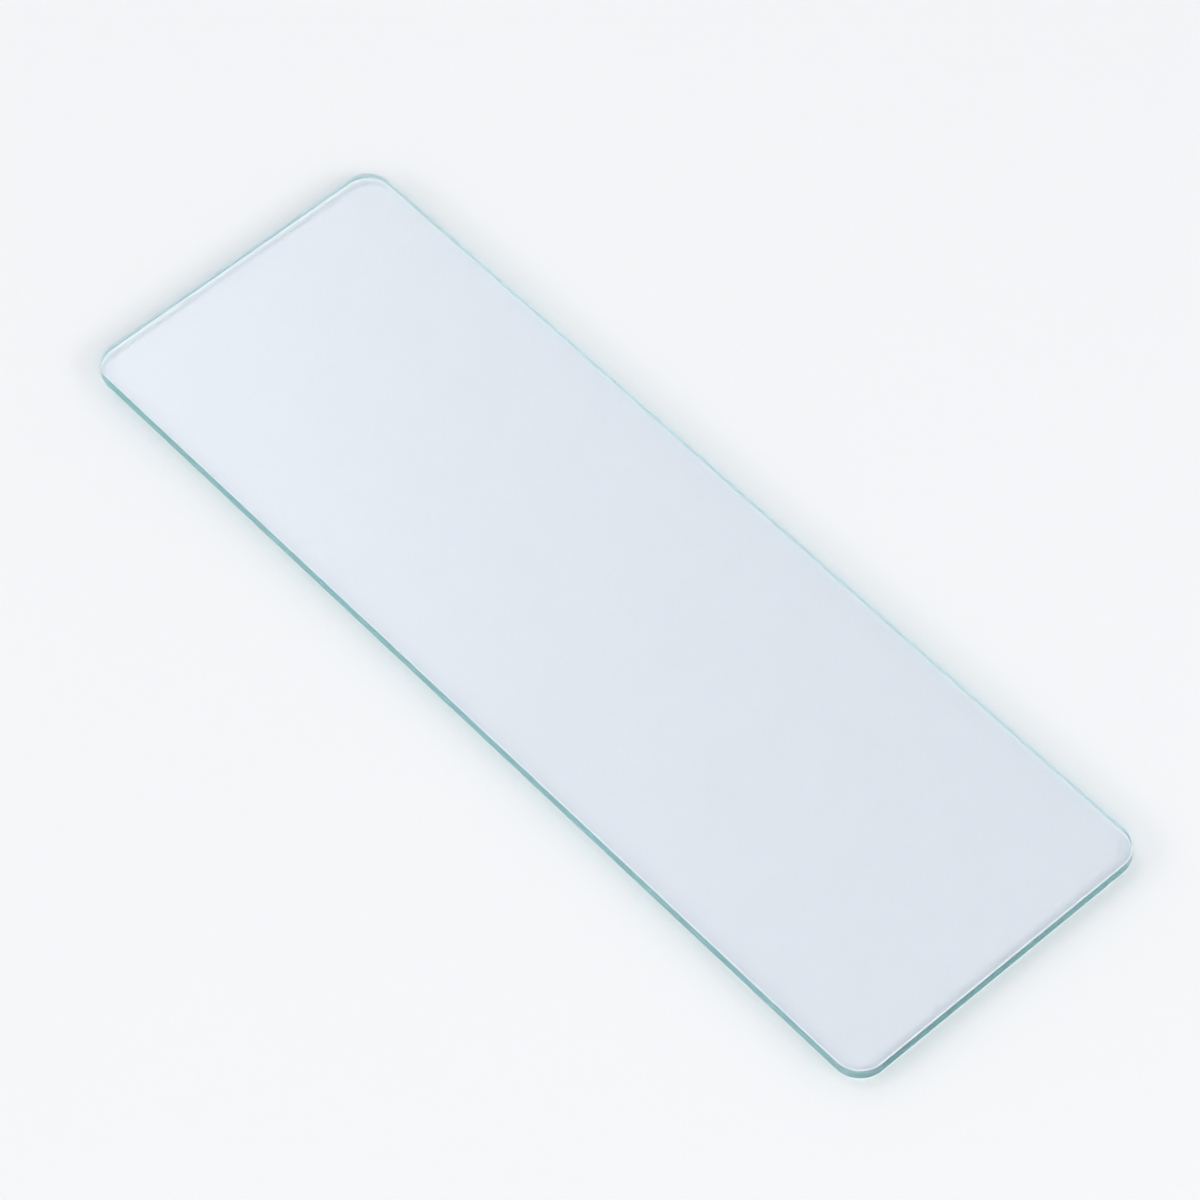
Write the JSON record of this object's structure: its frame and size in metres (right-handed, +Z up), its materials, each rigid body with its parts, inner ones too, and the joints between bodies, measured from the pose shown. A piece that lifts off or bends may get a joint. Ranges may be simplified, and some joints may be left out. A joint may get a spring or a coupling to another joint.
{
  "type": "microscope slide",
  "caption": "Thin flat rectangular plate of clear glass with ground edges, rounded corners and a narrow bevel round both faces; carries a specimen under a microscope.",
  "frame": {"origin": "centre of the lower face, which the slide lies on", "axes": "+X along the length, +Y across the width, +Z up through the thickness"},
  "size_m": [0.0762, 0.0254, 0.0011],
  "materials": {
    "clear_glass": "polished faces, satin ground edges, faint green-blue cast through the edges"
  },
  "bodies": {
    "root": {"glass_slide": "clear_glass"}
  },
  "joints": []
}
